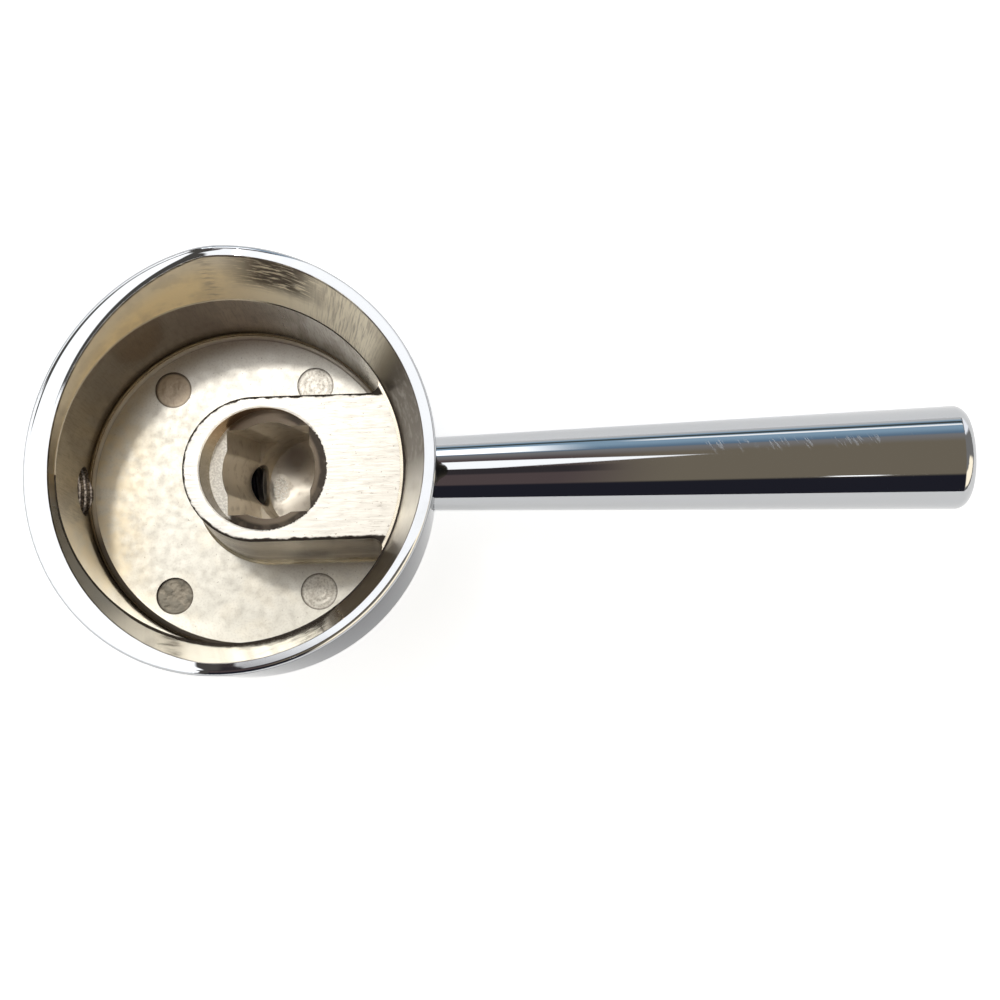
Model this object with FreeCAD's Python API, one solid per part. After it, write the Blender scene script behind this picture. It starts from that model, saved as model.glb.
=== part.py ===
# Lever handle of a single-lever basin tap, off its cartridge and lying on its crown, mouth up.
import FreeCAD
import Part
import math
import os

# Frame: millimetres, z = 0 on the flat crown, +Z out of the open mouth, +X along the lever.

# Cup of the casting
mouth_radius = 24.0
cup_height = 28.0
outer_draft_deg = 1.9
crown_edge_radius = 2.5
mouth_wall = 1.35
flare_depth = 9.3
flare_run = 2.6
ring_ledge = 0.12
pocket_draft_deg = 0.5
floor_thickness = 2.3
floor_pad_rise = 0.25
floor_groove_width = 0.85
casting_fillet = 1.0

# Rim: flat at the lever's side, cut down on a slope behind the axis so that the handle can tip back
rear_cut_deg = 22.0
rear_cut_offset = 1.6
ridge_radius = 9.0
rim_outer_edge_radius = 0.6

# Socket for the cartridge's square spindle, leaning towards the lever as the spindle does
socket_offset = 3.75
counterbore_tilt_deg = 12.5
counterbore_radius = 7.1
counterbore_depth = 1.65
socket_tilt_deg = 16.5
square_side = 10.0
square_depth = 10.9
pilot_radius = 5.65
socket_floor_height = 4.4
drill_point_deg = 150.0

# Boss that carries the socket, grown out of the cup's wall
boss_side_wall = 1.3
boss_end_wall = 1.95
boss_draft_deg = 2.6
boss_root_blend = 0.2

# Lever, a turned rod that screws into the boss
lever_height = 10.5
lever_root_radius = 4.4
lever_tip_radius = 6.25
lever_length = 64.4
lever_tip_dome = 0.8
lever_tip_edge_radius = 1.6
lever_root_chamfer = 0.25
lever_seat_depth = 0.5
lever_seat_clearance = 0.1
spigot_radius = 3.0
spigot_length = 8.0
spigot_chamfer = 0.6
spigot_end_clearance = 1.0

# Grub screw that locks the spindle, and the hole in the cup's wall for its key
screw_height = 5.4
screw_radius = 2.5
screw_length = 6.0
screw_tip_proud = 0.55
screw_chamfer = 0.5
screw_hex_flats = 2.5
screw_hex_depth = 2.5
screw_cup_radius = 1.3
screw_cup_depth = 0.6
thread_clearance = 0.05
access_clearance = 0.5
access_run_in = 1.5

# Marks of the ejector pins in the floor
pin_mark_radius = 2.25
pin_mark_inset = 3.3
pin_mark_angle_deg = 55.5
pin_mark_shift = -0.4
pin_mark_rear_depth = 0.4
pin_mark_front_depth = 0.15

# How far cutting tools reach past the faces that they open
overshoot = 2.0
touch = 0.01

X_AXIS = FreeCAD.Vector(1, 0, 0)
Y_AXIS = FreeCAD.Vector(0, 1, 0)
UP = FreeCAD.Vector(0, 0, 1)
FULL_TURN = 360
HALF_TURN = 180
HEX_SIDES = 6

# Sizes that follow from the driving ones
outer_slope = math.tan(math.radians(outer_draft_deg))
flare_slope = flare_run / flare_depth
boss_slope = math.tan(math.radians(boss_draft_deg))
pocket_slope = math.tan(math.radians(pocket_draft_deg))
counterbore_tilt = math.radians(counterbore_tilt_deg)
socket_tilt = math.radians(socket_tilt_deg)
boss_face_height = cup_height - flare_depth
mouth_inner_radius = mouth_radius - mouth_wall
ring_radius = mouth_inner_radius - flare_run
floor_top = floor_thickness + floor_pad_rise
boss_half_width = counterbore_radius + boss_side_wall
boss_end_x = socket_offset - counterbore_radius / math.cos(counterbore_tilt) - boss_end_wall
boss_centre_x = boss_end_x + boss_half_width
boss_root_radius = casting_fillet + boss_root_blend
pilot_depth = (boss_face_height - socket_floor_height) / math.cos(socket_tilt)


def outer_radius(height):
    """Radius of the cup's outer wall at a height over the crown."""
    return mouth_radius - (cup_height - height) * outer_slope


def flare_radius(height):
    """Radius of the flared inner wall between the boss face and the mouth."""
    return mouth_inner_radius - (cup_height - height) * flare_slope


def pocket_radius(height):
    """Radius of the cast inner wall below the boss face."""
    return ring_radius - ring_ledge - (boss_face_height - height) * pocket_slope


def arc(start, middle, end):
    """Edge along the circle through three points."""
    return Part.Arc(start, middle, end).toShape()


def boss_block():
    """Drafted block with a round end, from the pocket's floor to the boss face and out past the wall."""
    rise = boss_face_height - floor_thickness
    foot_half_width = boss_half_width + rise * boss_slope
    centre = FreeCAD.Vector(boss_centre_x, 0, floor_thickness)
    end = Part.makeCone(foot_half_width, boss_half_width, rise, centre, UP, HALF_TURN)
    end.rotate(centre, UP, HALF_TURN / 2)
    section = Part.makePolygon([
        FreeCAD.Vector(boss_centre_x, -foot_half_width, floor_thickness),
        FreeCAD.Vector(boss_centre_x, foot_half_width, floor_thickness),
        FreeCAD.Vector(boss_centre_x, boss_half_width, boss_face_height),
        FreeCAD.Vector(boss_centre_x, -boss_half_width, boss_face_height),
        FreeCAD.Vector(boss_centre_x, -foot_half_width, floor_thickness),
    ])
    return end.fuse(Part.Face(section).extrude(X_AXIS * mouth_radius))


def pocket_tool():
    """Drafted space round the boss, with the casting's fillets at the boss's root and along its floor."""
    rise = boss_face_height - floor_thickness
    space = Part.makeCone(
        pocket_radius(floor_thickness), pocket_radius(boss_face_height), rise,
        FreeCAD.Vector(0, 0, floor_thickness))
    space = space.cut(boss_block())
    root_edges = []
    for edge in space.Edges:
        middle = edge.valueAt((edge.FirstParameter + edge.LastParameter) / 2)
        on_wall = abs(math.hypot(middle.x, middle.y) - pocket_radius(middle.z)) < touch
        if on_wall and edge.BoundBox.ZLength > rise - touch:
            root_edges.append(edge)
    space = space.makeFillet(boss_root_radius, root_edges)
    floor_edges = [edge for edge in space.Edges if edge.BoundBox.ZMax < floor_thickness + touch]
    return space.makeFillet(casting_fillet, floor_edges)


def flare_tool():
    """Turned cone that opens the cup from the boss face to past the mouth."""
    top = cup_height + overshoot
    depth = top - boss_face_height
    return Part.makeCone(ring_radius, flare_radius(top), depth, FreeCAD.Vector(0, 0, boss_face_height))


def rim_trim_tool():
    """Space over the rim: level in front, a rounded ridge at the axis, then the rear slope."""
    slope = math.radians(rear_cut_deg)
    tangent = ridge_radius * math.tan(slope / 2)
    reach = mouth_radius + overshoot
    top = cup_height + 2 * overshoot

    def at(x, z):
        return FreeCAD.Vector(x, -reach, z)

    ridge_start = at(tangent - rear_cut_offset, cup_height)
    ridge_middle = at(
        ridge_start.x - ridge_radius * math.sin(slope / 2),
        cup_height - ridge_radius * (1 - math.cos(slope / 2)),
    )
    ridge_end = at(
        -rear_cut_offset - tangent * math.cos(slope),
        cup_height - tangent * math.sin(slope),
    )
    front = at(reach, cup_height)
    rear = at(-reach, cup_height - (reach - rear_cut_offset) * math.tan(slope))
    rear_top = at(-reach, top)
    front_top = at(reach, top)
    edges = [
        Part.makeLine(front, ridge_start),
        arc(ridge_start, ridge_middle, ridge_end),
        Part.makeLine(ridge_end, rear),
        Part.makeLine(rear, rear_top),
        Part.makeLine(rear_top, front_top),
        Part.makeLine(front_top, front),
    ]
    return Part.Face(Part.Wire(edges)).extrude(Y_AXIS * (2 * reach))


def rim_edges(body):
    """Edges of the rim's faces that lie on the cup's outer wall."""
    found = []
    for face in body.Faces:
        low, high, left, right = face.ParameterRange
        normal = face.normalAt((low + high) / 2, (left + right) / 2)
        faces_up = normal.z > math.cos(math.radians(rear_cut_deg) + touch)
        if not faces_up or face.BoundBox.ZMax < boss_face_height + touch:
            continue
        for edge in face.Edges:
            middle = edge.valueAt((edge.FirstParameter + edge.LastParameter) / 2)
            if abs(math.hypot(middle.x, middle.y) - outer_radius(middle.z)) < touch:
                found.append(edge)
    return found


def cup():
    """Cast cup with its boss, before any hole is drilled."""
    top = cup_height + overshoot
    body = Part.makeCone(outer_radius(0), outer_radius(top), top)
    crown_edges = [edge for edge in body.Edges if edge.BoundBox.ZMax < touch]
    body = body.makeFillet(crown_edge_radius, crown_edges)
    body = body.cut(pocket_tool())
    body = body.cut(flare_tool())
    body = body.cut(rim_trim_tool())
    body = body.makeFillet(rim_outer_edge_radius, rim_edges(body))
    pad_radius = pocket_radius(floor_thickness) - floor_groove_width
    return body.fuse(Part.makeCylinder(pad_radius, floor_top))


def leaning(tool, tilt_deg):
    """Tool made under the origin, set at the socket's mouth and leaned towards the lever."""
    mouth = FreeCAD.Vector(socket_offset, 0, boss_face_height)
    tool.Placement = FreeCAD.Placement(mouth, FreeCAD.Rotation(Y_AXIS, -tilt_deg))
    return tool


def counterbore_tool():
    """Round seat at the socket's mouth, its ledge all but flush with the boss at the lever's side."""
    rise = counterbore_radius * math.tan(counterbore_tilt) + overshoot
    foot = FreeCAD.Vector(0, 0, -counterbore_depth)
    counterbore = Part.makeCylinder(counterbore_radius, counterbore_depth + rise, foot)
    return leaning(counterbore, counterbore_tilt_deg)


def socket_tool():
    """Broached square and drilled pilot that take the spindle."""
    half_side = square_side / 2
    square_foot = FreeCAD.Vector(-half_side, -half_side, -square_depth)
    square = Part.makeBox(square_side, square_side, square_depth, square_foot)
    pilot_foot = FreeCAD.Vector(0, 0, -pilot_depth)
    pilot = Part.makeCylinder(pilot_radius, pilot_depth, pilot_foot)
    point_height = pilot_radius / math.tan(math.radians(drill_point_deg / 2))
    point = Part.makeCone(pilot_radius, 0, point_height, pilot_foot, UP * -1)
    return leaning(square.fuse([pilot, point]), socket_tilt_deg)


def lever_seat_x():
    """Plane of the spot face that the lever's shoulder is screwed against."""
    return outer_radius(lever_height) - lever_seat_depth


def lever_seat_tool():
    """Spot face in the cup's wall and the tapped hole behind it."""
    seat = FreeCAD.Vector(lever_seat_x(), 0, lever_height)
    spot_face = Part.makeCylinder(
        lever_root_radius + lever_seat_clearance, lever_seat_depth + overshoot, seat, X_AXIS)
    hole_depth = spigot_length + spigot_end_clearance
    hole = Part.makeCylinder(spigot_radius + thread_clearance, hole_depth, seat, X_AXIS * -1)
    return spot_face.fuse(hole)


def socket_wall_x():
    """Rear wall of the socket at the height of the grub screw."""
    axis_x = socket_offset + (boss_face_height - screw_height) * math.tan(socket_tilt)
    return axis_x - pilot_radius / math.cos(socket_tilt)


def screw_hole_tools():
    """Tapped hole through the boss and the key's hole through the cup's rear wall."""
    run_out_x = socket_wall_x() + screw_tip_proud + screw_radius * math.tan(socket_tilt)
    start_x = boss_end_x - (boss_face_height - screw_height) * boss_slope - overshoot
    tapped = Part.makeCylinder(
        screw_radius + thread_clearance, run_out_x - start_x,
        FreeCAD.Vector(start_x, 0, screw_height), X_AXIS)
    outside_x = -outer_radius(screw_height) - overshoot
    inside_x = access_run_in - pocket_radius(screw_height)
    access = Part.makeCylinder(
        screw_radius + access_clearance, inside_x - outside_x,
        FreeCAD.Vector(outside_x, 0, screw_height), X_AXIS)
    return [tapped, access]


def pin_mark_tools():
    """Shallow round marks in the floor, deeper behind the axis than in front of it."""
    circle = pocket_radius(floor_thickness) - floor_groove_width - pin_mark_inset
    along = circle * math.cos(math.radians(pin_mark_angle_deg))
    across = circle * math.sin(math.radians(pin_mark_angle_deg))
    tools = []
    for x, depth in ((-along, pin_mark_rear_depth), (along, pin_mark_front_depth)):
        for y in (-across, across):
            place = FreeCAD.Vector(x + pin_mark_shift, y, floor_top - depth)
            tools.append(Part.makeCylinder(pin_mark_radius, depth + touch, place))
    return tools


def handle_body():
    """Whole casting with its machined socket, seat and screw holes."""
    tools = [counterbore_tool(), socket_tool(), lever_seat_tool()]
    tools += screw_hole_tools()
    tools += pin_mark_tools()
    return cup().cut(tools).removeSplitter()


def on_profile(along, radius):
    """Point of a turned piece's upper outline, before the piece is put in its place."""
    return FreeCAD.Vector(along, 0, radius)


def turned(edges):
    """Solid turned round the X axis from the closed outline of its upper half."""
    return Part.Face(Part.Wire(edges)).revolve(FreeCAD.Vector(0, 0, 0), X_AXIS, FULL_TURN)


def lever():
    """Tapered rod with a domed end and the threaded spigot turned on its root."""
    shaft_end = lever_length - lever_tip_dome
    dome_radius = (lever_tip_radius ** 2 + lever_tip_dome ** 2) / (2 * lever_tip_dome)
    half_angle = math.asin(lever_tip_radius / dome_radius) / 2
    dome_middle = on_profile(
        lever_length - dome_radius * (1 - math.cos(half_angle)), dome_radius * math.sin(half_angle))
    pole = on_profile(lever_length, 0)
    corners = [
        on_profile(-spigot_length, 0),
        on_profile(-spigot_length, spigot_radius - spigot_chamfer),
        on_profile(spigot_chamfer - spigot_length, spigot_radius),
        on_profile(0, spigot_radius),
        on_profile(0, lever_root_radius - lever_root_chamfer),
        on_profile(lever_root_chamfer, lever_root_radius),
        on_profile(shaft_end, lever_tip_radius),
    ]
    outline = Part.makePolygon(corners).Edges
    outline.append(arc(corners[-1], dome_middle, pole))
    outline.append(Part.makeLine(pole, corners[0]))
    rod = turned(outline)
    tip_edges = [edge for edge in rod.Edges if abs(edge.BoundBox.XMin - shaft_end) < touch
                 and abs(edge.BoundBox.XMax - shaft_end) < touch]
    rod = rod.makeFillet(lever_tip_edge_radius, tip_edges)
    rod.translate(FreeCAD.Vector(lever_seat_x(), 0, lever_height))
    return rod


def grub_screw():
    """Socket set screw with a cup point, its tip standing into the spindle socket."""
    corners = [
        on_profile(0, 0),
        on_profile(0, screw_radius - screw_chamfer),
        on_profile(screw_chamfer, screw_radius),
        on_profile(screw_length - screw_chamfer, screw_radius),
        on_profile(screw_length, screw_radius - screw_chamfer),
        on_profile(screw_length, screw_cup_radius),
        on_profile(screw_length - screw_cup_depth, 0),
        on_profile(0, 0),
    ]
    body = turned(Part.makePolygon(corners).Edges)
    corner_radius = screw_hex_flats / 2 / math.cos(math.pi / HEX_SIDES)
    hex_corners = []
    for corner in range(HEX_SIDES + 1):
        turn = 2 * math.pi * corner / HEX_SIDES
        hex_corners.append(
            FreeCAD.Vector(0, corner_radius * math.cos(turn), corner_radius * math.sin(turn)))
    hex_face = Part.Face(Part.makePolygon(hex_corners))
    body = body.cut(hex_face.extrude(X_AXIS * screw_hex_depth))
    head_x = socket_wall_x() + screw_tip_proud - screw_length
    body.translate(FreeCAD.Vector(head_x, 0, screw_height))
    return body


def export(name, shape):
    """Write one piece to its own file, after a look at its soundness."""
    print(name, "valid" if shape.isValid() else "NOT VALID", "solids", len(shape.Solids),
          "volume", round(shape.Volume, 1))
    shape.exportStep("parts/" + name + ".step")


os.makedirs("parts", exist_ok=True)
export("handle_body", handle_body())
export("lever", lever())
export("grub_screw", grub_screw())
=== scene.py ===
# Looks of a chromed tap handle that lies on its crown with its mouth up, seen from above.
import bmesh
import bpy
import math
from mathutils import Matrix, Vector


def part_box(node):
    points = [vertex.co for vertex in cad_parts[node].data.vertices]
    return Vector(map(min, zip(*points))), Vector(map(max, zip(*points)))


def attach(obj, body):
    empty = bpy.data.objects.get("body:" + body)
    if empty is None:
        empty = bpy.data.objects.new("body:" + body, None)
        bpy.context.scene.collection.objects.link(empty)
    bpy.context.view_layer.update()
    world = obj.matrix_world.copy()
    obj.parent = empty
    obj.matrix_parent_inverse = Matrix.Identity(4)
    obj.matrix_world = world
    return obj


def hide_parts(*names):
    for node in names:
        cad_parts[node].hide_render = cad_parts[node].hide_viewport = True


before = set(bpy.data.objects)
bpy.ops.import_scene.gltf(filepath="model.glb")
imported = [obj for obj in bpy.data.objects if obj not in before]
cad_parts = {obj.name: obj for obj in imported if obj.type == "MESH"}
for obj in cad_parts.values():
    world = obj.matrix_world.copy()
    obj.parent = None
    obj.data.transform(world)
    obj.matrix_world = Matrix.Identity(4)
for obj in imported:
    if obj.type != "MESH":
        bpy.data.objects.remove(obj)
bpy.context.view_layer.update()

# Sizes of the casting in millimetres, for the places of its finishes
MM = 0.001
CUP_HEIGHT = 28.0
MOUTH_RADIUS = 24.0
MOUTH_INNER_RADIUS = 22.65
OUTER_SLOPE = math.tan(math.radians(1.9))
RING_RADIUS = 20.05
BOSS_FACE_HEIGHT = 18.7
FLOOR_HEIGHT = 2.55
PAD_RADIUS = 18.94
FLARE_SLOPE = (MOUTH_INNER_RADIUS - RING_RADIUS) / (CUP_HEIGHT - BOSS_FACE_HEIGHT)
CROWN_BAND = 1.9
CROWN_EDGE_TOP = 2.7
RIM_EDGE_RADIUS = 0.6
REAR_CUT = math.radians(22.0)
REAR_CUT_OFFSET = 1.6
RIM_TURN_RADIUS = 18.0
RIM_TURN_START = 2.9
BOSS_HALF_WIDTH = 8.4
BOSS_CENTRE_X = 2.93
PIN_MARK_RADIUS = 2.25
PIN_MARK_REAR_X = -9.26
PIN_MARK_FRONT_X = 8.46
PIN_MARK_Y = 12.89
KEY_HOLE_HEIGHT = 5.4
KEY_HOLE_RADIUS = 3.0
KEY_HOLE_END_X = -19.2

# Socket's counterbore, leaning about the y axis
SOCKET_MOUTH = (3.75, 0.0, BOSS_FACE_HEIGHT)
SOCKET_TILT = math.radians(12.5)
COUNTERBORE_RADIUS = 7.1
COUNTERBORE_DEPTH = 1.65
LEDGE = -COUNTERBORE_DEPTH

# Soft steps between the casting's surfaces, from no share to the full share, in millimetres
INSIDE_STEP = (-0.04, -0.02)
CROWN_STEP = (CROWN_BAND - 0.1, CROWN_BAND)
NEAR_WALL_STEP = (0.4, 0.2)
OFF_WALL_STEP = (0.4, 0.6)
OVER_RING_STEP = (BOSS_FACE_HEIGHT + 0.02, BOSS_FACE_HEIGHT + 0.1)
UNDER_RING_STEP = (BOSS_FACE_HEIGHT - 0.03, BOSS_FACE_HEIGHT - 0.06)
AT_FACE_STEP = (BOSS_FACE_HEIGHT - 0.06, BOSS_FACE_HEIGHT - 0.03)
FACE_EDGE_STEP = (BOSS_FACE_HEIGHT - 0.7, BOSS_FACE_HEIGHT - 0.4)
OVER_FLOOR_STEP = (FLOOR_HEIGHT + 0.15, FLOOR_HEIGHT + 0.4)
FLOOR_STEP = (FLOOR_HEIGHT + 0.06, FLOOR_HEIGHT + 0.03)
GROOVE_STEP = (PAD_RADIUS - 0.03, PAD_RADIUS + 0.05)
GROOVE_DEPTH_STEP = (FLOOR_HEIGHT + 0.5, FLOOR_HEIGHT - 0.1)
KEY_HOLE_STEP = (KEY_HOLE_RADIUS + 0.04, KEY_HOLE_RADIUS + 0.02)
KEY_HOLE_END_STEP = (KEY_HOLE_END_X, KEY_HOLE_END_X - 0.1)
PIN_MARK_STEP = (PIN_MARK_RADIUS + 0.02, PIN_MARK_RADIUS)
BORE_STEP = (COUNTERBORE_RADIUS + 0.03, COUNTERBORE_RADIUS + 0.01)
OVER_LEDGE_STEP = (LEDGE + 0.04, LEDGE + 0.06)
UNDER_LEDGE_STEP = (LEDGE - 0.04, LEDGE - 0.06)
BRIGHT_LEDGE_STEP = (-4.4, -5.0)
DARK_LEDGE_ACROSS = (0.5, 3.5)
DARK_LEDGE_NEAR = (-2.0, -4.0)
DARK_LEDGE_OUTER = (-1.0, -0.6)
OUTER_WALL_DEPTH = 0.03

# Bands on the casting in millimetres: two ends and the soft shoulder
RING_LINE_HEIGHTS = (BOSS_FACE_HEIGHT - 0.05, BOSS_FACE_HEIGHT + 0.03, 0.02)
RING_LINE_DEPTHS = (-0.01, 0.16, 0.02)
LEDGE_BAND = (LEDGE - 0.03, LEDGE + 0.03, 0.01)
PAINTED_LIGHT_BAND = (6.5, 7.6, 0.6)
PAINTED_DARK_BAND = (8.8, 12.5, 1.2)

# Round marks in millimetres: the drill's spot in the socket, a blob on the boss and a smudge in the socket
DRILL_SPOT = (4.0, -0.1, 0.0)
DRILL_SPOT_STRETCH = (1.6, 1.0, 0.0)
DRILL_SPOT_STEP = (2.0, 1.2)
DRILL_SPOT_HEIGHTS = (10.5, 9.0)
BLOB_X = 8.3
BLOB_Z = 8.0
BLOB_STEP = (4.5, 0.5)
SMUDGE_X = 6.0
SMUDGE_Y = 3.6

# Sides of the cup in degrees from the lever: the ends of a band and its shoulder, or a rise and a fall
SIDE_BANDS = {
    "hair_side": (34.0, 60.0, 8.0),
    "dark_side": (-4.0, 26.0, 6.0),
    "front_side": (-26.0, 70.0, 8.0),
    "lit_side": (35.0, 75.0, 12.0),
    "soot_side": (62.0, 84.0, 7.0),
    "seam_side": (92.0, 96.0, 2.5),
    "corner_side": (8.0, 24.0, 5.0),
}
SIDE_SPANS = {
    "mirror_side": ((-172.0, -160.0), (-58.0, -66.0)),
    "bottom_side": ((-134.0, -122.0), (-52.0, -60.0)),
    "satin_side": ((28.0, 40.0), (178.0, 152.0)),
}
WARM_SIDE = (75.0, 90.0)
DARK_RING_SIDE = (84.0, 72.0)

# Places that marks keep to, in millimetres along the axis that they are named after
SOOT_UNDER_RIM = (7.5, 4.5)
RIM_LINE_UNDER_RIM = (0.45, 0.2)
REAR_END_X = (-10.0, -17.0)
FRONT_END_X = (8.0, 13.0)
NEAR_HALF_Y = (1.0, -1.0)
BOSS_END_X = (3.0, -1.0)
BOSS_END_EDGE = (1.7, 0.5)

# Dark edges, painted shade broken up like chips: share of the noise in their width, and the step of their
# width
BOSS_CHIPS = 0.8
BOSS_CHIP_STEP = (0.72, 0.54)
BORE_CHIPS = 0.5
BORE_CHIP_STEP = (0.42, 0.30)
SHADED_HALF_SLANT = -0.5
SHADED_HALF_STEP = (1.5, 4.5)

# Normals by formula: rolls and tilts, and where they start in millimetres
RIM_ROLL = 0.19
RIM_ROLL_DEPTHS = (-0.3, -0.9)
RIM_EDGE_ROLL = 0.14
RIM_EDGE_ROLL_DEPTHS = (0.95, RIM_EDGE_RADIUS)
RIM_FLAT_END = RIM_EDGE_RADIUS + 0.01
RIM_FLAT_FRONT_END = 0.25
RIM_LOWEST = BOSS_FACE_HEIGHT - 2.0
OUTER_WALL_TOP = RIM_EDGE_RADIUS + 0.15
MIRROR_TILTS = (("wall", "mirror_side", 0.05), ("flare", "bottom_side", 0.20))
EDGE_ROUNDING = 0.45
EDGE_SAMPLES = 4
UPWARDS = (0.0, 0.0, 1.0)

# Lever in millimetres, and the rubbed patch near its tip
LEVER_HEIGHT = 10.5
LEVER_ROOT_RADIUS = 4.4
LEVER_TIP_RADIUS = 6.25
LEVER_RUN = 64.4
LEVER_TAPER = (LEVER_TIP_RADIUS - LEVER_ROOT_RADIUS) / LEVER_RUN
LEVER_TAPER_BAND = (24.0, 84.6, 0.3)
LEVER_POLISH = (0.025, 0.045)
SCRATCH_SLANT = 0.6
SCRATCH_STRETCH = 0.12
SCRATCH_NOISE = (3.2, 2.0)
SCRATCH_STEP = (0.52, 0.6)
SCRATCH_ROUGHNESS = 0.34
RUBBED_NOISE = (0.3, 2.0)
RUBBED_STEP = (0.42, 0.55)
RUBBED_ACROSS = (0.8, 2.2, 0.5)
RUBBED_ALONG = (54.0, 80.0, 4.0)
WAVE_STRETCH = (0.4, 1.0, 1.0)
WAVE_NOISE = (0.12, 1.0)
WAVE_HEIGHT = 0.02

# Grub screw in millimetres, and its finish
THREAD_PITCH = 0.8
THREAD_DEPTH = 0.42
THREAD_FLAT = 0.1
THREAD_STEPS = 12
SCREW_CHAMFER = 0.5
SCREW_HEX_FLATS = 2.5
SCREW_HEX_DEPTH = 2.5
SCREW_CUP_RADIUS = 1.3
SCREW_CUP_DEPTH = 0.6
SCREW_SEGMENTS = 48
HEX_SIDES = 6
OXIDE_NOISE = (5.0, 4.0)
OXIDE_SPECKS = (0.6, 0.8)
OXIDE_ROUGHNESS = (0.35, 0.5)

# Camera, fitted to the photograph
CAMERA_PLACE = (0.02896, -0.03248, 0.21738)
CAMERA_TURN = (0.1399, -0.0050, -0.0330)
FOCAL_LENGTH = 63.07
SENSOR_WIDTH = 36.0
CLIP_START = 0.001

# Colours, linear
CHROME = (0.46, 0.47, 0.485)
# grazing tint of the outer wall's chrome, darker: painted shade in its reflection of the floor
CHROME_PAINTED_DARK_EDGE = (0.0, 0.01, 0.03)
WHITE = (1.0, 1.0, 1.0)
NICKEL_PALE = (0.765, 0.735, 0.67)
NICKEL_FLOOR = (0.755, 0.73, 0.65)
# nickel in painted warm light, for the flare's upper left
NICKEL_IN_PAINTED_WARM_LIGHT = (1.0, 0.83, 0.53)
NICKEL_WALL = (0.63, 0.57, 0.465)
NICKEL_GREY = (0.60, 0.585, 0.55)
CREAM = (0.97, 0.94, 0.86)
# nickel in painted light, for the flare's side with hairlines
NICKEL_IN_PAINTED_LIGHT = (0.97, 0.90, 0.72)
# blue-grey: painted reflection of the sky on the flare's lower left
PAINTED_SKY_REFLECTION = (0.66, 0.69, 0.72)
TAN = (0.86, 0.74, 0.53)
STAIN = (0.28, 0.235, 0.19)
# near black: painted dark reflection and painted shade on the flare beside the lever
PAINTED_DARK_REFLECTION_AND_SHADE = (0.13, 0.11, 0.09)
DIRT = (0.09, 0.073, 0.06)
# near black: painted shade along dark edges and on the ledge, broken up like chips
SHADE_AND_CHIPS = (0.06, 0.05, 0.042)
FRACTURE = (0.235, 0.215, 0.175)
# paler copy of the fracture: painted light on the far rear pin mark
FRACTURE_PAINTED_LIGHT = (0.74, 0.62, 0.47)
RUST = (0.50, 0.33, 0.18)
PLATED_SOCKET = (0.93, 0.86, 0.74)
SHADED_LEDGE = (0.20, 0.155, 0.11)
OXIDE_BLACK = (0.03, 0.03, 0.034)
OXIDE_RUBBED = (0.12, 0.11, 0.10)
FLOOR_WHITE = (0.60, 0.60, 0.60)
FLOOR_SHADE = (0.57, 0.57, 0.57)

# Colour of the cup's flare and of its pocket's wall, by degrees from the lever: stains of the nickel
# together with painted light, painted shade and painted reflections, such as the sky's blue-grey and a
# pale lit band on the lower flare, warm light on the upper flare, a pale lit wall at the lower left and a
# shaded wall at the upper left
FLARE_PAINTED_LIGHT = (
    (-180, TAN), (-168, PAINTED_SKY_REFLECTION), (-134, PAINTED_SKY_REFLECTION), (-122, CREAM), (-66, CREAM), (-52, STAIN), (-28, DIRT),
    (-18, CREAM), (-8, NICKEL_GREY), (0, PAINTED_DARK_REFLECTION_AND_SHADE), (26, PAINTED_DARK_REFLECTION_AND_SHADE), (38, NICKEL_IN_PAINTED_LIGHT), (62, NICKEL_IN_PAINTED_LIGHT),
    (86, TAN), (100, NICKEL_IN_PAINTED_WARM_LIGHT), (140, NICKEL_IN_PAINTED_WARM_LIGHT), (180, TAN),
)
WALL_PAINTED_LIGHT = (
    (-180, NICKEL_WALL), (-165, CREAM), (-60, CREAM), (-50, STAIN), (20, NICKEL_WALL), (40, CREAM),
    (66, NICKEL_PALE), (88, NICKEL_WALL), (105, STAIN), (145, STAIN), (180, NICKEL_WALL),
)
FULL_TURN = 360.0

# Noises of the casting: scale and detail in the part's frame
PLAIN_NOISES = {
    "mottle": (0.9, 6.0),
    "clouds": (0.28, 3.0),
    "broken": (0.55, 3.0),
    "fine": (4.0, 4.0),
    "specks": (2.6, 2.0),
}

# Stretched noises: scales and detail, along the wall and up it, or in the part's frame
WALL_NOISES = {
    "streaks": ((5.0, 0.25, 0.0), 4.0),
    "strokes": ((0.5, 2.6, 0.0), 4.0),
    "smears": ((0.35, 0.10, 0.0), 1.0),
}
PLACE_NOISES = {
    "brushed": ((0.5, 5.0, 1.0), 4.0),
    "scratches": ((0.9, 6.5, 1.0), 2.0),
}
NOISE_DETAIL = 3.0
NOISE_ROUGHNESS = 0.55
STRETCHED_ROUGHNESS = 0.6
NOISE_SPAN = (0.3, 0.7)
SCRAPED_STEP = (0.45, 0.6)

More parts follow.
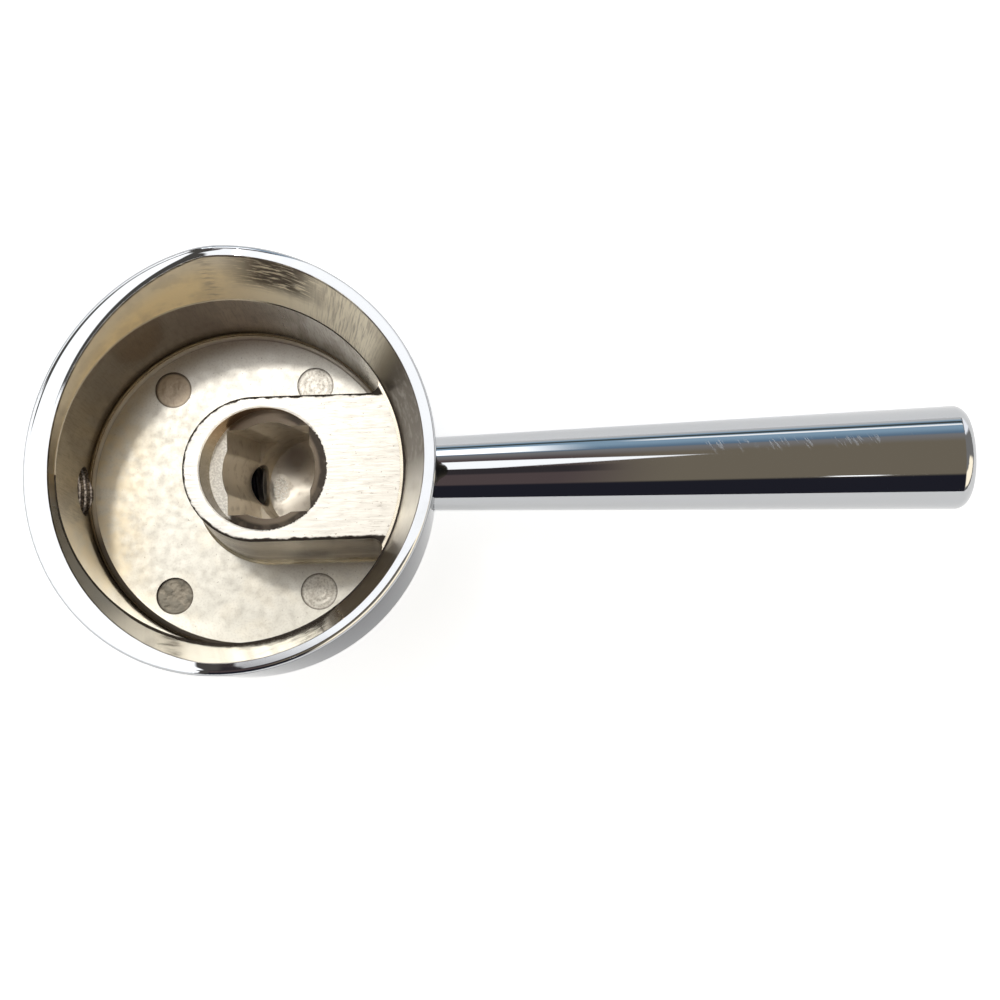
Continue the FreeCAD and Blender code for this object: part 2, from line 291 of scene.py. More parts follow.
# Marks inside the casting, from the first to the last layer: surface, what the mark follows, its step
# with the shares at both ends or one plain share, the part of the surface that it keeps to, and its colour
MARKS = (
    ("flare", "streaks", (0.42, 0.66, 0.0, 0.55), "hair_side", STAIN),
    ("flare", "under_rim", (4.5, 0.6, 0.0, 0.6), "warm_side", NICKEL_PALE),
    ("flare", "clouds", (0.45, 0.65, 0.0, 0.2), "warm_side", STAIN),
    ("flare", "strokes", (0.42, 0.62, 0.0, 0.5), "seam_side", STAIN),
    ("flare", "smears", (0.56, 0.74, 0.0, 0.3), None, STAIN),
    ("flare", "strokes", (0.34, 0.52, 0.1, 1.0), "sooty", DIRT),
    # dark streaks on the flare beside the lever: painted shade and painted dark reflection
    ("flare", "strokes", (0.40, 0.60, 0.0, 1.0), "corner_side", PAINTED_DARK_REFLECTION_AND_SHADE),
    ("flare", "mottle", (0.46, 0.70, 0.0, 0.3), "dark_side", NICKEL_GREY),
    ("flare", "strokes", (0.30, 0.55, 0.35, 1.0), "rim_line", DIRT),
    ("wall", "smears", (0.42, 0.62, 0.0, 0.45), "plain_side", STAIN),
    ("inside", "mottle", (0.52, 0.80, 0.0, 0.15), None, STAIN),
    ("wall", "streaks", (0.46, 0.64, 0.0, 0.3), "plain_side", DIRT),
    ("floor", "clouds", (0.46, 0.66, 0.0, 0.12), None, TAN),
    # floor paler towards the far side: painted light that lifts the shadow of the rear wall
    ("floor", "y", (7.0, 14.0, 0.0, 0.9), None, CREAM),
    ("floor", "fine", (0.45, 0.70, 0.0, 0.16), None, STAIN),
    ("floor", "specks", (0.72, 0.76, 0.0, 0.7), None, STAIN),
    ("floor", "broken", (0.35, 0.65, 0.3, 0.8), "rear_end", TAN),
    ("face", "specks", (0.69, 0.74, 0.0, 0.6), None, STAIN),
    # the boss's near side: darker towards its top, a pale band with a darker band over it as painted
    # reflections of the floor, and a dark blob
    ("boss_side", "z", (BOSS_FACE_HEIGHT - 4.0, BOSS_FACE_HEIGHT - 0.6, 0.1, 0.6), None, STAIN),
    ("boss_side", None, 0.35, "painted_dark_band", STAIN),
    ("boss_side", None, 0.55, "painted_light_band", CREAM),
    ("boss_side", None, 0.8, "blob", DIRT),
    # groove round the floor darkened: painted shade in the crease, with dirt, darkest on the lower left
    ("groove", None, 0.6, None, STAIN),
    ("groove", None, 0.85, "mirror_side", DIRT),
    # bore wall darker towards the near side
    ("bore_wall", "y", (-1.0, -4.0, 0.35, 0.9), None, STAIN),
    ("bore_wall", "y", (1.5, 5.5, 0.0, 0.8), None, RUST),
    ("ledge", None, 0.95, None, SHADED_LEDGE),
    # ledge darker on the right and near side: painted shade
    ("dark_ledge", "mottle", (0.45, 0.65, 0.9, 0.6), None, SHADE_AND_CHIPS),
    # bright left part of the ledge: painted light
    ("bright_ledge", "fine", (0.36, 0.60, 1.0, 0.72), None, CREAM),
    # socket darker towards the far side
    ("socket", "y", (-1.0, 4.5, 0.0, 0.45), None, STAIN),
    ("socket", "smudge_distance", (3.0, 0.6, 0.0, 0.6), None, DIRT),
    ("socket", "mottle", (0.50, 0.70, 0.0, 0.25), None, STAIN),
    # pale patch with specks at the drill's point: painted highlight and glints
    ("drill_spot", "fine", (0.42, 0.58, 0.9, 0.1), None, CREAM),
    # grey towards the boss's rounded left end, in brush lines: painted shade of the rounded edge, with
    # brush lines
    ("face", "brushed", (0.35, 0.60, 0.25, 0.75), "end_edge", NICKEL_GREY),
    ("face", "scratches", (0.62, 0.70, 0.0, 0.5), "front_end", STAIN),
    # rear pin marks: painted light on the far one, painted shade with broken noise on the near one
    ("rear_pin", None, 0.9, None, FRACTURE_PAINTED_LIGHT),
    ("rear_pin", "broken", (0.44, 0.56, 0.85, 1.0), "near_half", FRACTURE),
    ("front_pin", "fine", (0.40, 0.70, 0.2, 0.6), None, STAIN),
    # dark lines along the edges: painted shade, broken up like chips
    ("edge_shade_and_chips", None, 1.0, None, SHADE_AND_CHIPS),
    # dark rim round each pin mark: painted shade at the recess's edge
    ("rear_pin", "rear_pin_distance", (PIN_MARK_RADIUS - 0.35, PIN_MARK_RADIUS, 0.0, 0.8), None, DIRT),
    ("front_pin", "front_pin_distance", (PIN_MARK_RADIUS - 0.35, PIN_MARK_RADIUS, 0.0, 0.8), None, DIRT),
)

# Roughness inside, from the first to the last layer: surface, its part, the noise that it follows, and
# the roughness at both ends of the noise or one plain roughness
SATIN_ROUGHNESS = (0.19, 0.26)
ROUGHNESS = (
    ("flare", None, "mottle", (0.28, 0.32)),
    ("wall", "mirror_side", None, 0.10),
    ("flare", "mirror_side", None, 0.14),
    ("floor", None, "mottle", (0.35, 0.41)),
    ("face", None, "brushed", (0.32, 0.40)),
    ("socket", None, "mottle", (0.36, 0.46)),
    ("drill_spot", None, None, 0.3),
    ("flare", "bottom_side", None, 0.08),
    ("ledge", None, None, 0.5),
    ("dull_edge", None, None, 0.6),
    ("rear_pin", None, None, 0.42),
)
POLISH_NOISE = 0.6
CHROME_POLISH = (0.03, 0.06)
KEY_HOLE_ROUGHNESS = 0.4

# Relief of the casting: what it follows, its surface, and its height in steps
RELIEF = (
    ("fine", "floor", 0.5),
    ("brushed", "face", 1.2),
    ("streaks", "hair_flare", 5.0),
    ("fine", "ledge", 7.0),
    ("broken", "rear_pin", 60.0),
    ("rings", "front_pin", 1.2),
    ("thread", "key_hole", 20.0),
    ("fine", "drill_spot", 30.0),
)
RELIEF_STEP = 0.003
RING_PITCH = 9.0
SKIN_NOISE = (0.25, 2.0)
SKIN_HEIGHT = 8.0

# Share of metal where the plating is satin, and how much of the socket is
SATIN_METAL = 0.25
SATIN_SOCKET = 0.3

# Edges of the facets that stay sharp, and the distance that welds them
SHARP_ANGLE = math.radians(28.0)
WELD_DISTANCE = 0.000002

# Floor sheet in metres, and its glow
FLOOR_HALF = 6.0
FLOOR_DROP = -0.00005
FLOOR_NOISE = 40.0
FLOOR_ROUGHNESS = 0.7
FLOOR_GLOW = (0.97, 0.985, 1.0)
FLOOR_GLOW_STRENGTH = 0.72

# Surroundings, from the first to the last layer: light, and limits by direction. A limit has a measure of
# the direction with the ends of a soft step, or with the ends and the shoulder of a band. The measure
# lean is the direction's angle from upright towards the far side, in degrees
BASE_LIGHT = (0.15, 0.11, 0.11)
SURROUNDINGS = (
    ((0.29, 0.245, 0.18), (("x", -0.02, 0.06),)),
    ((0.06, 0.05, 0.055), (("lean", -14.0, 4.0, 3.0), ("x", 0.03, -0.01))),
    ((0.026, 0.026, 0.038), (("lean", -43.0, -50.0),)),
    ((0.34, 0.33, 0.33), (("lean", 26.0, 44.0),)),
    ((0.20, 0.31, 0.44), (("lean", 43.0, 49.0),)),
    ((0.42, 0.62, 0.80), (("lean", 46.0, 62.0),)),
    ((1.8, 1.8, 1.8), (("lean", 67.0, 71.0, 0.8), ("x", 0.03, 0.06))),
    ((0.10, 0.12, 0.12), (("lean", 73.0, 79.0, 1.5),)),
    ((3.0, 3.0, 3.0), (("lean", 49.0, 67.0, 1.5), ("x", 0.02, -0.05))),
    ((0.9, 0.9, 0.9), (("lean", 80.0, 86.0),)),
    ((0.32, 0.31, 0.30), (("x", 0.27, 0.36),)),
    ((2.2, 1.95, 1.5), (("x", 0.30, 0.40), ("y", 0.0, -0.15), ("z", 0.15, 0.70, 0.05))),
    ((1.7, 1.7, 1.75), (("x", 0.36, 0.42), ("y", 0.58, 0.68))),
    ((0.13, 0.12, 0.11), (("x", -0.40, -0.50),)),
    ((3.0, 3.0, 3.0), (("lean", -46.0, -44.0, 0.6), ("x", 0.142, 0.17, 0.006))),
)
STEP_ENDS = 2
LEAST_RISE = 0.001

# Patch of light at the left: its edge, and its top and foot by the direction's y
SIDE_PATCH_LIGHT = (2.3, 2.3, 2.3)
SIDE_PATCH_EDGE = (-0.62, -0.68)
SIDE_PATCH_TOP = (0.21, 0.19, 0.48, 0.70)
SIDE_PATCH_FOOT = (0.24, 0.30, 0.0, 0.11)
SIDE_PATCH_SOFT = (-0.02, 0.02)

# Patch of light overhead, which narrows to the right: its tip, its two edges by the run from the tip with
# their slope and start in degrees, and its slanting end
OVERHEAD_LIGHT = (2.05, 2.05, 2.05)
OVERHEAD_TIP = 0.053
OVERHEAD_LOW = (140.0, 3.0)
OVERHEAD_HIGH = (-40.0, 25.0)
OVERHEAD_SOFT = (-1.0, 1.0)
OVERHEAD_SLANT = 1.2
OVERHEAD_END = (-0.24, -0.18)

# Key light
SUN_ENERGY = 0.205
SUN_SPREAD = math.radians(4.0)
SUN_COLOUR = (1.0, 0.97, 0.92)
SUN_TURN = (math.radians(-15.1), math.radians(-10.7), 0.0)

# Places of sockets in the vector and mix nodes
SCALE_SOCKET = 3
LENGTH_OUTPUT = 1
NUMBER_SOCKETS = slice(2, 4)
VECTOR_SOCKETS = slice(4, 6)
VECTOR_OUTPUT = 1
COLOUR_SOCKETS = slice(6, 8)
COLOUR_OUTPUT = 2


class Nodes:
    """Short ways to add nodes to one node tree."""

    def __init__(self, tree):
        self.tree = tree

    def put(self, socket, value):
        """Link a socket, or set a plain value."""
        if isinstance(value, bpy.types.NodeSocket):
            self.tree.links.new(value, socket)
        elif value is not None:
            socket.default_value = value

    def add(self, kind, **settings):
        node = self.tree.nodes.new(kind)
        for name, value in settings.items():
            setattr(node, name, value)
        return node

    def math(self, operation, first, second=None, third=None):
        node = self.add("ShaderNodeMath", operation=operation)
        for socket, value in zip(node.inputs, (first, second, third)):
            self.put(socket, value)
        return node.outputs[0]

    def both(self, first, second):
        """Product of two shares."""
        return self.math("MULTIPLY", first, second)

    def less(self, first, second):
        """The first less the second."""
        return self.math("SUBTRACT", first, second)

    def round_ramp(self, angle, stops):
        """Colour by the angle round the cup, from stops in degrees."""
        turn = self.math("MULTIPLY_ADD", angle, 1 / (2 * math.pi), 0.5)
        node = self.add("ShaderNodeValToRGB")
        self.put(node.inputs[0], turn)
        elements = node.color_ramp.elements
        for element, stop in zip(elements, (stops[0], stops[-1])):
            element.color = (*stop[1], 1.0)
        for degrees, colour in stops[1:-1]:
            elements.new(degrees / FULL_TURN + 0.5).color = (*colour, 1.0)
        return node.outputs[0]

    def vector(self, operation, first, second=None, scale=None, output=0):
        node = self.add("ShaderNodeVectorMath", operation=operation)
        self.put(node.inputs[0], first)
        self.put(node.inputs[1], second)
        self.put(node.inputs[SCALE_SOCKET], scale)
        return node.outputs[output]

    def length(self, vector):
        return self.vector("LENGTH", vector, output=LENGTH_OUTPUT)

    def distance(self, first, second):
        """Length of the diagonal over two legs."""
        return self.length(self.combine(first, second, 0.0))

    def unit(self, vector):
        return self.vector("NORMALIZE", vector)

    def ease(self, value, low, high, to_low=0.0, to_high=1.0):
        """Smooth step from to_low to to_high as value goes from low to high."""
        node = self.add("ShaderNodeMapRange", interpolation_type="SMOOTHSTEP")
        for socket, item in zip(node.inputs, (value, low, high, to_low, to_high)):
            self.put(socket, item)
        return node.outputs[0]

    def band(self, value, low, high, soft):
        """One between low and high, with soft shoulders."""
        rise = self.ease(value, low - soft, low + soft)
        fall = self.ease(value, high - soft, high + soft, 1.0, 0.0)
        return self.both(rise, fall)

    def noise(self, vector, scale, detail=NOISE_DETAIL, roughness=NOISE_ROUGHNESS):
        node = self.add("ShaderNodeTexNoise")
        self.put(node.inputs["Vector"], vector)
        node.inputs["Scale"].default_value = scale
        node.inputs["Detail"].default_value = detail
        node.inputs["Roughness"].default_value = roughness
        return node.outputs["Fac"]

    def mix(self, share, first, second):
        """Colour mix from first to second."""
        node = self.add("ShaderNodeMix", data_type="RGBA")
        self.put(node.inputs[0], share)
        for socket, colour in zip(node.inputs[COLOUR_SOCKETS], (first, second)):
            self.put(socket, (*colour, 1.0) if isinstance(colour, tuple) else colour)
        return node.outputs[COLOUR_OUTPUT]

    def blend(self, share, first, second):
        """Plain number mix from first to second."""
        node = self.add("ShaderNodeMix", data_type="FLOAT")
        self.put(node.inputs[0], share)
        for socket, value in zip(node.inputs[NUMBER_SOCKETS], (first, second)):
            self.put(socket, value)
        return node.outputs[0]

    def turn(self, share, first, second):
        """Direction mix from first to second."""
        node = self.add("ShaderNodeMix", data_type="VECTOR")
        self.put(node.inputs[0], share)
        for socket, value in zip(node.inputs[VECTOR_SOCKETS], (first, second)):
            self.put(socket, value)
        return node.outputs[VECTOR_OUTPUT]

    def combine(self, x, y, z):
        node = self.add("ShaderNodeCombineXYZ")
        for socket, value in zip(node.inputs, (x, y, z)):
            self.put(socket, value)
        return node.outputs[0]

    def separate(self, vector):
        node = self.add("ShaderNodeSeparateXYZ")
        self.put(node.inputs[0], vector)
        return node.outputs

    def bump(self, height, distance, normal):
        node = self.add("ShaderNodeBump")
        node.inputs["Distance"].default_value = distance
        self.put(node.inputs["Height"], height)
        self.put(node.inputs["Normal"], normal)
        return node.outputs[0]


def new_material(name):
    """Material with one metal shader: returns it with its nodes and shader."""
    material = bpy.data.materials.new(name)
    material.use_nodes = True
    tree = material.node_tree
    tree.nodes.clear()
    nodes = Nodes(tree)
    output = nodes.add("ShaderNodeOutputMaterial")
    shader = nodes.add("ShaderNodeBsdfPrincipled")
    tree.links.new(shader.outputs[0], output.inputs["Surface"])
    shader.inputs["Metallic"].default_value = 1.0
    return material, nodes, shader


def place_in_millimetres(nodes):
    """The surface point in the part's frame."""
    source = nodes.add("ShaderNodeTexCoord")
    return nodes.vector("SCALE", source.outputs["Object"], scale=1 / MM)


def casting_zones(nodes, place):
    """Measures of a point on the casting and the shares of its surfaces there, by name."""
    x, y, z = nodes.separate(place)
    radius = nodes.distance(x, y)
    angle = nodes.math("ARCTAN2", y, x)
    over_face = nodes.math("MAXIMUM", nodes.less(z, BOSS_FACE_HEIGHT), 0.0)
    flare_radius = nodes.math("MULTIPLY_ADD", over_face, FLARE_SLOPE, RING_RADIUS)
    depth_in = nodes.less(flare_radius, radius)
    inside = nodes.both(nodes.ease(depth_in, *INSIDE_STEP), nodes.ease(z, *CROWN_STEP))
    inner_wall = nodes.both(nodes.ease(depth_in, *NEAR_WALL_STEP), inside)
    off_wall = nodes.ease(depth_in, *OFF_WALL_STEP)
    under_ring = nodes.ease(z, *UNDER_RING_STEP)
    side_heights = nodes.both(nodes.ease(z, *OVER_FLOOR_STEP), under_ring)

    end_offset = nodes.math("MAXIMUM", nodes.less(BOSS_CENTRE_X, x), 0.0)
    end_distance = nodes.distance(end_offset, y)
    across_hole = nodes.distance(y, nodes.less(z, KEY_HOLE_HEIGHT))
    under_mouth = nodes.less(z, CUP_HEIGHT)
    outer_radius = nodes.math("MULTIPLY_ADD", under_mouth, OUTER_SLOPE, MOUTH_RADIUS)
    from_outside = nodes.less(outer_radius, radius)
    slope_run = nodes.math("ADD", x, REAR_CUT_OFFSET)
    slope_top = nodes.math("MULTIPLY_ADD", slope_run, math.tan(REAR_CUT), CUP_HEIGHT)
    rim_top = nodes.math("MINIMUM", slope_top, CUP_HEIGHT)
    ring_heights = nodes.band(z, *RING_LINE_HEIGHTS)
    groove = nodes.both(nodes.ease(radius, *GROOVE_STEP), nodes.ease(z, *GROOVE_DEPTH_STEP))
    key_hole = nodes.both(nodes.ease(across_hole, *KEY_HOLE_STEP), nodes.ease(x, *KEY_HOLE_END_STEP))
    return {
        "x": x,
        "y": y,
        "z": z,
        "radius": radius,
        "angle": angle,
        "degrees": nodes.math("DEGREES", angle),
        "from_outside": from_outside,
        "depth_in": depth_in,
        "under_rim": nodes.less(rim_top, z),
        "from_boss_edge": nodes.less(BOSS_HALF_WIDTH, end_distance),
        "outer_wall": nodes.math("LESS_THAN", from_outside, OUTER_WALL_DEPTH),
        "inside": inside,
        "flare": nodes.both(nodes.ease(z, *OVER_RING_STEP), inner_wall),
        "wall": nodes.both(under_ring, inner_wall),
        "ring_line": nodes.both(ring_heights, nodes.band(depth_in, *RING_LINE_DEPTHS)),
        "face": nodes.both(nodes.ease(z, *AT_FACE_STEP), off_wall),
        "face_edge": nodes.both(nodes.ease(z, *FACE_EDGE_STEP), off_wall),
        "boss_side": nodes.both(side_heights, off_wall),
        "floor": nodes.ease(z, *FLOOR_STEP),
        "groove": groove,
        "key_hole": key_hole,
    }


def side_zones(nodes, zones):
    """Shares of the sides of the cup, added to the zones."""
    degrees = zones["degrees"]
    for name, ends in SIDE_BANDS.items():
        zones[name] = nodes.band(degrees, *ends)
    for name, (rise, fall) in SIDE_SPANS.items():
        zones[name] = nodes.both(nodes.ease(degrees, *rise), nodes.ease(degrees, *fall))
    zones["warm_side"] = nodes.ease(degrees, *WARM_SIDE)
    zones["plain_side"] = nodes.less(1.0, zones["mirror_side"])
    zones["hair_flare"] = nodes.both(zones["flare"], zones["hair_side"])


def socket_zones(nodes, place, zones):
    """Shares of the leaning socket's surfaces, added to the zones. The boss's side leaves the bore out."""
    lean_cos = math.cos(SOCKET_TILT)
    lean_sin = math.sin(SOCKET_TILT)
    from_mouth = nodes.vector("SUBTRACT", place, SOCKET_MOUTH)
    across = nodes.vector("DOT_PRODUCT", from_mouth, (lean_cos, 0.0, lean_sin), output=LENGTH_OUTPUT)
    along = nodes.vector("DOT_PRODUCT", from_mouth, (-lean_sin, 0.0, lean_cos), output=LENGTH_OUTPUT)
    from_axis = nodes.distance(across, zones["y"])
    in_bore = nodes.ease(from_axis, *BORE_STEP)
    zones["boss_side"] = nodes.both(zones["boss_side"], nodes.less(1.0, in_bore))
    zones["from_bore_edge"] = nodes.less(from_axis, COUNTERBORE_RADIUS)
    zones["across"] = across
    zones["ledge"] = nodes.both(in_bore, nodes.band(along, *LEDGE_BAND))
    zones["bright_ledge"] = nodes.both(zones["ledge"], nodes.ease(across, *BRIGHT_LEDGE_STEP))
    dark_ledge_part = nodes.math("MAXIMUM", nodes.ease(across, *DARK_LEDGE_ACROSS),
                           nodes.ease(zones["y"], *DARK_LEDGE_NEAR))
    dark_ledge_part = nodes.both(dark_ledge_part, nodes.ease(zones["from_bore_edge"], *DARK_LEDGE_OUTER))
    zones["dark_ledge"] = nodes.both(zones["ledge"], dark_ledge_part)
    zones["bore_wall"] = nodes.both(in_bore, nodes.ease(along, *OVER_LEDGE_STEP))
    zones["socket"] = nodes.both(in_bore, nodes.ease(along, *UNDER_LEDGE_STEP))
    from_spot = nodes.vector("SUBTRACT", place, DRILL_SPOT)
    spot_distance = nodes.length(nodes.vector("MULTIPLY", from_spot, DRILL_SPOT_STRETCH))
    spot = nodes.ease(spot_distance, *DRILL_SPOT_STEP)
    spot = nodes.both(spot, nodes.ease(zones["z"], *DRILL_SPOT_HEIGHTS))
    zones["drill_spot"] = nodes.both(zones["socket"], spot)


def pin_zones(nodes, zones):
    """Shares of the ejector pin marks and the distance from their centres, added to the zones."""
    mirrored_y = nodes.less(nodes.math("ABSOLUTE", zones["y"]), PIN_MARK_Y)
    for name, centre in (("rear_pin", PIN_MARK_REAR_X), ("front_pin", PIN_MARK_FRONT_X)):
        distance = nodes.distance(nodes.less(zones["x"], centre), mirrored_y)
        zones[name] = nodes.both(nodes.ease(distance, *PIN_MARK_STEP), zones["floor"])
        zones[name + "_distance"] = distance


def mark_zones(nodes, zones):
    """Shares of the places that single marks keep to, added to the zones."""
    x = zones["x"]
    z = zones["z"]
    blob_distance = nodes.distance(nodes.less(x, BLOB_X), nodes.less(z, BLOB_Z))
    smudge_distance = nodes.distance(nodes.less(x, SMUDGE_X), nodes.less(zones["y"], SMUDGE_Y))
    boss_end = nodes.ease(zones["from_boss_edge"], *BOSS_END_EDGE)
    zones["sooty"] = nodes.both(zones["soot_side"], nodes.ease(zones["under_rim"], *SOOT_UNDER_RIM))
    zones["rim_line"] = nodes.ease(zones["under_rim"], *RIM_LINE_UNDER_RIM)
    zones["painted_light_band"] = nodes.band(z, *PAINTED_LIGHT_BAND)
    zones["painted_dark_band"] = nodes.band(z, *PAINTED_DARK_BAND)
    zones["blob"] = nodes.ease(blob_distance, *BLOB_STEP)
    zones["smudge_distance"] = smudge_distance
    zones["rear_end"] = nodes.ease(x, *REAR_END_X)
    zones["front_end"] = nodes.ease(x, *FRONT_END_X)
    zones["near_half"] = nodes.ease(zones["y"], *NEAR_HALF_Y)
    zones["end_edge"] = nodes.both(boss_end, nodes.ease(x, *BOSS_END_X))


def edge_shade_zones(nodes, zones, grain):
    """Shares of the dark lines along the edges of the boss, its bore and the ring over the wall, added to
    the zones: painted shade, broken up by noise like chipped plating.
    """
    boss_edge = nodes.math("MULTIPLY_ADD", grain["mottle"], BOSS_CHIPS, zones["from_boss_edge"])
    boss_edge = nodes.both(zones["face_edge"], nodes.ease(boss_edge, *BOSS_CHIP_STEP))
    bore_edge = nodes.math("MULTIPLY_ADD", grain["fine"], BORE_CHIPS, zones["from_bore_edge"])
    bore_edge = nodes.both(zones["face"], nodes.ease(bore_edge, *BORE_CHIP_STEP))
    slanted = nodes.math("MULTIPLY_ADD", zones["y"], SHADED_HALF_SLANT, zones["across"])
    bore_edge = nodes.both(bore_edge, nodes.ease(slanted, *SHADED_HALF_STEP))
    ring = nodes.both(zones["ring_line"], nodes.ease(zones["degrees"], *DARK_RING_SIDE))
    zones["edge_shade_and_chips"] = nodes.math("MAXIMUM", boss_edge, nodes.math("MAXIMUM", bore_edge, ring))
    zones["dull_edge"] = nodes.math("MAXIMUM", zones["edge_shade_and_chips"], zones["ring_line"])


def casting_grain(nodes, place, zones):
    """Noises and turned lines of the casting's marks, by name."""
    round_wall = nodes.combine(nodes.math("MULTIPLY", zones["angle"], RING_RADIUS), zones["z"], 0.0)
    grain = {name: nodes.noise(place, *setting) for name, setting in PLAIN_NOISES.items()}
    for source, noises in ((round_wall, WALL_NOISES), (place, PLACE_NOISES)):
        for name, (scales, detail) in noises.items():
            stretched = nodes.vector("MULTIPLY", source, scales)
            grain[name] = nodes.noise(stretched, 1.0, detail, STRETCHED_ROUGHNESS)
    for name, measure in (("rings", "front_pin_distance"), ("thread", "x")):
        grain[name] = nodes.math("SINE", nodes.math("MULTIPLY", zones[measure], RING_PITCH))
    return grain


def rim_normal(nodes, zones):
    """Normal of the rim's flat and of its turn into the rear slope, where both edges roll outwards."""
    full_lean = math.sin(REAR_CUT)
    lean = nodes.math("DIVIDE", nodes.less(RIM_TURN_START, zones["x"]), RIM_TURN_RADIUS)
    lean = nodes.math("MINIMUM", nodes.math("MAXIMUM", lean, 0.0), full_lean)
    rise = nodes.math("SQRT", nodes.less(1.0, nodes.both(lean, lean)))
    flat = nodes.combine(nodes.math("MULTIPLY", lean, -1.0), 0.0, rise)
    outwards = nodes.unit(nodes.combine(zones["x"], zones["y"], 0.0))
    inner_roll = nodes.ease(zones["depth_in"], *RIM_ROLL_DEPTHS, 0.0, RIM_ROLL)
    outer_roll = nodes.ease(zones["from_outside"], *RIM_EDGE_ROLL_DEPTHS, 0.0, RIM_EDGE_ROLL)
    roll = nodes.both(nodes.math("ADD", inner_roll, outer_roll), nodes.ease(lean, 0.0, full_lean))
    return nodes.unit(nodes.vector("ADD", flat, nodes.vector("SCALE", outwards, scale=roll)))


def true_normal(nodes, zones):
    """Normal by formula on the rim, the outer wall, the bright ledge and the cup's mirroring sides,
    rounded at the boss's edges, and of the facets elsewhere."""
    facet = nodes.add("ShaderNodeNewGeometry").outputs["Normal"]
    rounded = nodes.add("ShaderNodeBevel", samples=EDGE_SAMPLES)
    rounded.inputs["Radius"].default_value = EDGE_ROUNDING * MM
    normal = nodes.turn(zones["face_edge"], facet, rounded.outputs[0])
    normal = nodes.turn(zones["bright_ledge"], normal, UPWARDS)
    around = nodes.combine(zones["x"], zones["y"], zones["radius"])
    for surface, side, tilt in MIRROR_TILTS:
        inwards = nodes.unit(nodes.vector("MULTIPLY", around, (-1.0, -1.0, tilt)))
        normal = nodes.turn(nodes.both(zones[surface], zones[side]), normal, inwards)

    outside = nodes.less(1.0, zones["inside"])
    high = nodes.math("GREATER_THAN", zones["z"], RIM_LOWEST)
    flat_end = nodes.blend(zones["front_side"], RIM_FLAT_END, RIM_FLAT_FRONT_END)
    off_edge = nodes.math("GREATER_THAN", zones["from_outside"], flat_end)
    on_rim = nodes.both(nodes.both(outside, high), off_edge)
    normal = nodes.turn(on_rim, normal, rim_normal(nodes, zones))

    below = nodes.math("GREATER_THAN", zones["under_rim"], OUTER_WALL_TOP)
    over_crown = nodes.math("GREATER_THAN", zones["z"], CROWN_EDGE_TOP)
    on_wall = nodes.both(nodes.both(zones["outer_wall"], below), over_crown)
    fall = nodes.math("MULTIPLY", zones["radius"], -OUTER_SLOPE)
    return nodes.turn(on_wall, normal, nodes.unit(nodes.combine(zones["x"], zones["y"], fall)))


def casting_marks(nodes, zones, grain):
    """Dirt, stains, painted shade and painted reflections of the inside as shares with their colours, from
    the first to the last layer.
    """
    measures = {**zones, **grain}
    layers = []
    for surface, source, amount, part, colour in MARKS:
        share = nodes.ease(measures[source], *amount) if source else amount
        if part:
            share = nodes.both(zones[part], share)
        layers.append((nodes.both(zones[surface], share), colour))
    return layers


def casting_colour(nodes, zones, grain):
    """Chrome outside, and inside the nickel of each surface with its marks, with light, shade and
    reflections painted round the flare and the wall.
    """
    nickel = nodes.mix(zones["socket"], NICKEL_WALL, PLATED_SOCKET)
    nickel = nodes.mix(zones["floor"], nickel, NICKEL_FLOOR)
    nickel = nodes.mix(zones["face"], nickel, NICKEL_PALE)
    nickel = nodes.mix(zones["ledge"], nickel, NICKEL_PALE)
    # flare and wall coloured by angle: painted light, painted shade and painted reflections
    nickel = nodes.mix(zones["flare"], nickel, nodes.round_ramp(zones["angle"], FLARE_PAINTED_LIGHT))
    nickel = nodes.mix(zones["wall"], nickel, nodes.round_ramp(zones["angle"], WALL_PAINTED_LIGHT))
    for share, colour in casting_marks(nodes, zones, grain):
        nickel = nodes.mix(share, nickel, colour)
    scraped = nodes.mix(nodes.ease(grain["fine"], *SCRAPED_STEP), DIRT, STAIN)
    colour = nodes.mix(zones["inside"], CHROME, nickel)
    return nodes.mix(zones["key_hole"], colour, scraped)


def casting_roughness(nodes, place, zones, grain):
    """Polished outside, and inside satin, smooth on the mirroring sides and dull on the dark edges."""
    rough = nodes.ease(grain["mottle"], *NOISE_SPAN, *SATIN_ROUGHNESS)
    for surface, part, source, amount in ROUGHNESS:
        share = nodes.both(zones[surface], zones[part]) if part else zones[surface]
        finish = nodes.ease(grain[source], *NOISE_SPAN, *amount) if source else amount
        rough = nodes.blend(share, rough, finish)
    polish = nodes.ease(nodes.noise(place, POLISH_NOISE), *NOISE_SPAN, *CHROME_POLISH)
    rough = nodes.blend(zones["inside"], polish, rough)
    return nodes.blend(zones["key_hole"], rough, KEY_HOLE_ROUGHNESS)


def casting_metal(nodes, zones):
    """Share of metal: less where the plating of the flare, the wall and the socket is satin."""
    flare = nodes.both(zones["flare"], zones["satin_side"])
    wall = nodes.both(zones["wall"], zones["lit_side"])
    socket = nodes.math("MULTIPLY", zones["socket"], SATIN_SOCKET)
    satin = nodes.math("MAXIMUM", flare, nodes.math("MAXIMUM", wall, socket))
    return nodes.blend(satin, 1.0, SATIN_METAL)


def casting_relief(nodes, place, zones, grain):
    """Height of the casting's skin, grain and marks, in relief steps."""
    skin = nodes.math("MULTIPLY", zones["inside"], SKIN_HEIGHT)
    height = nodes.both(nodes.noise(place, *SKIN_NOISE), skin)
    for source, surface, depth in RELIEF:
        share = nodes.math("MULTIPLY", zones[surface], depth)
        height = nodes.math("MULTIPLY_ADD", grain[source], share, height)
    return height


